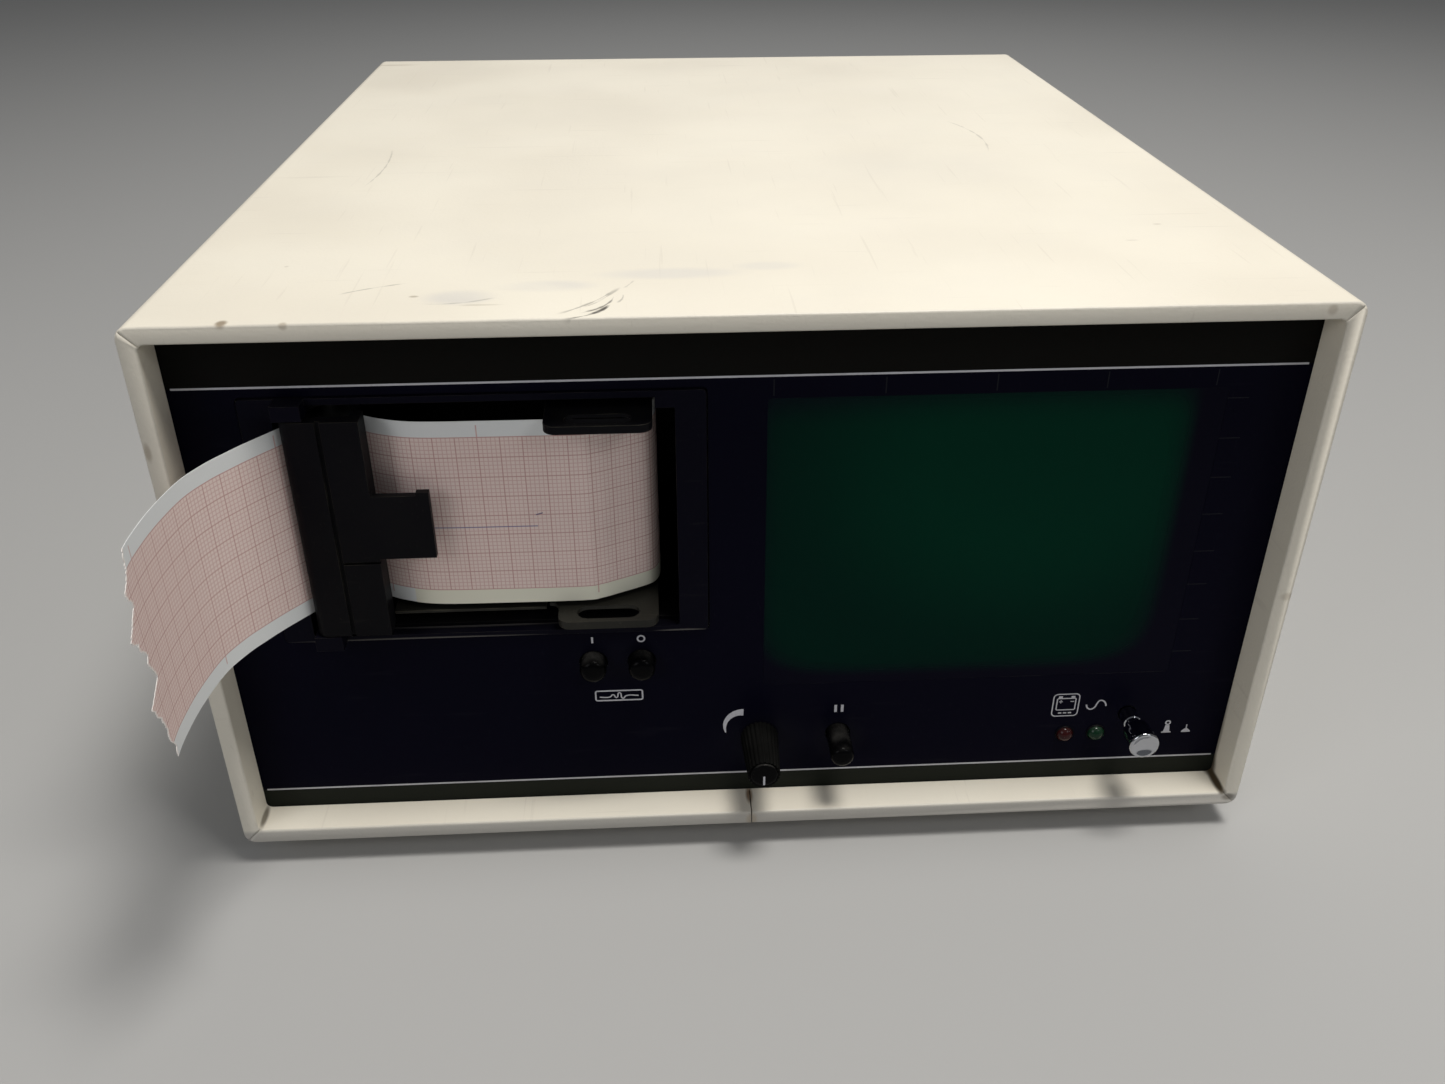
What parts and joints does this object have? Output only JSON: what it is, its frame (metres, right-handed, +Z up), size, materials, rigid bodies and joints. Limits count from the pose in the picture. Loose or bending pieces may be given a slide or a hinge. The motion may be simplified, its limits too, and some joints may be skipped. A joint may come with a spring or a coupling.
{
  "type": "stress test monitor",
  "caption": "Portable heart monitor in a cream steel case: green screen, built-in strip chart recorder with paper hanging out, knob, push buttons and lamps on a dark front.",
  "frame": {"origin": "middle of the bounding box's base, level with the undersides of the feet", "axes": "-Y out of the front panel, +Y to the rear, +Z up, +X to the right as seen from the front"},
  "size_m": [0.26, 0.3498, 0.1472],
  "materials": {
    "case_paint": "warm white textured enamel, scuffed",
    "panel_print": "matte near-black film with white printing",
    "plated_steel": "dull zinc plating",
    "green_window": "dark green filter",
    "tube_glass": "smooth glass over a grey phosphor",
    "foot_rubber": "matte",
    "platen_rubber": "ground matte",
    "bright_steel": "fine turned",
    "winding": "varnished windings",
    "board": "solder mask",
    "core_steel": "dark plated",
    "grey_plastic": "moulded",
    "black_plastic": "moulded, slight sheen",
    "knob_plastic": "moulded with a white pointer",
    "recorder_plastic": "moulded, handled to a sheen",
    "connector_metal": "satin nickel",
    "chrome_cap": "polished",
    "red_lens": "tinted lens",
    "green_lens": "tinted lens",
    "core_plastic": "moulded nylon",
    "chart_print": "thermal paper with a pink grid",
    "roll_paper": "wound paper"
  },
  "bodies": {
    "chassis": {"case_sleeve": "case_paint", "chassis_tray": "plated_steel", "foot_front_left": "foot_rubber", "foot_screw_front_left": "bright_steel", "foot_front_right": "foot_rubber", "foot_screw_front_right": "bright_steel", "foot_rear_left": "foot_rubber", "foot_screw_rear_left": "bright_steel", "foot_rear_right": "foot_rubber", "foot_screw_rear_right": "bright_steel", "front_overlay": "panel_print", "front_panel": "plated_steel", "screen_window": "green_window", "rear_panel": "plated_steel", "crt_tube": "tube_glass", "crt_frame": "plated_steel", "deflection_yoke": "winding", "neck_board": "board", "volume_pot": "plated_steel", "freeze_switch": "black_plastic", "recorder_switch": "black_plastic", "power_switch": "black_plastic", "battery_lamp": "red_lens", "mains_lamp": "green_lens", "recorder_bezel": "recorder_plastic", "gate_pin": "bright_steel", "recorder_housing": "recorder_plastic", "upper_arm_pin": "bright_steel", "lower_arm_pin": "bright_steel", "chart_paper": "chart_print", "drive_motor": "core_steel", "drive_plate": "plated_steel", "main_board": "board", "deflection_board": "board", "power_transformer": "core_steel", "battery_pack": "grey_plastic", "battery_strap": "plated_steel", "speaker": "black_plastic", "mains_inlet": "black_plastic", "fuse_holder": "black_plastic", "patient_connector": "connector_metal"},
    "volume": {"volume_knob": "knob_plastic", "volume_shaft": "bright_steel"},
    "freeze": {"freeze_button": "black_plastic"},
    "run": {"run_button": "black_plastic"},
    "off": {"off_button": "black_plastic"},
    "power": {"power_cap": "chrome_cap", "power_shaft": "bright_steel"},
    "gate": {"paper_gate": "recorder_plastic", "print_head": "bright_steel"},
    "upper_arm": {"upper_roll_arm": "recorder_plastic"},
    "lower_arm": {"lower_roll_arm": "recorder_plastic"},
    "roll": {"paper_roll": "roll_paper", "roll_core": "core_plastic"},
    "platen": {"platen_roller": "platen_rubber", "platen_shaft": "bright_steel", "platen_gear": "core_plastic"},
    "idler": {"idler_gear": "core_plastic"},
    "pinion": {"motor_pinion": "bright_steel"}
  },
  "joints": [
    {"name": "volume_turn", "type": "hinge", "parent": "chassis", "child": "volume", "pos_m": [0.003, -0.12505, 0.0287], "axis": [0, 1, 0], "range_deg": [-140, 140]},
    {"name": "freeze_press", "type": "slide", "parent": "chassis", "child": "freeze", "axis": [0, 1, 0], "range_m": [0, 0.0025], "stiffness_N_per_m": 300, "springref_m": -0.002},
    {"name": "run_press", "type": "slide", "parent": "chassis", "child": "run", "axis": [0, 1, 0], "range_m": [0, 0.002], "stiffness_N_per_m": 300, "springref_m": -0.002},
    {"name": "off_press", "type": "slide", "parent": "chassis", "child": "off", "axis": [0, 1, 0], "range_m": [0, 0.002], "stiffness_N_per_m": 300, "springref_m": -0.002},
    {"name": "power_press", "type": "slide", "parent": "chassis", "child": "power", "axis": [0, 1, 0], "range_m": [0, 0.005], "stiffness_N_per_m": 300, "springref_m": -0.002},
    {"name": "gate_swing", "type": "hinge", "parent": "chassis", "child": "gate", "pos_m": [-0.1006, -0.11765, 0.0962], "axis": [0, 0, -1], "range_deg": [0, 90]},
    {"name": "upper_arm_spread", "type": "hinge", "parent": "chassis", "child": "upper_arm", "pos_m": [-0.034, -0.06385, 0.1211], "axis": [-1, 0, 0], "range_deg": [0, 3], "stiffness_Nm_per_rad": 0.6, "springref_deg": -5.73},
    {"name": "lower_arm_spread", "type": "hinge", "parent": "chassis", "child": "lower_arm", "pos_m": [-0.034, -0.06385, 0.0701], "axis": [1, 0, 0], "range_deg": [0, 3], "stiffness_Nm_per_rad": 0.6, "springref_deg": -5.73},
    {"name": "roll_spin", "type": "hinge", "parent": "chassis", "child": "roll", "pos_m": [-0.0333, -0.08845, 0.0962], "axis": [0, 0, 1], "continuous": true},
    {"name": "platen_spin", "type": "hinge", "parent": "chassis", "child": "platen", "pos_m": [-0.09671, -0.10029, 0.0962], "axis": [0, 0, 1], "continuous": true},
    {"name": "idler_spin", "type": "hinge", "parent": "chassis", "child": "idler", "pos_m": [-0.08064, -0.08114, 0.0582], "axis": [0, 0, 1], "continuous": true},
    {"name": "pinion_spin", "type": "hinge", "parent": "chassis", "child": "pinion", "pos_m": [-0.06185, -0.0743, 0.0582], "axis": [0, 0, 1], "continuous": true}
  ],
  "couplings": [
    {"joint": "platen_spin", "follows": "roll_spin", "ratio": 1.65},
    {"joint": "idler_spin", "follows": "roll_spin", "ratio": -1.1},
    {"joint": "pinion_spin", "follows": "roll_spin", "ratio": 3.3}
  ]
}
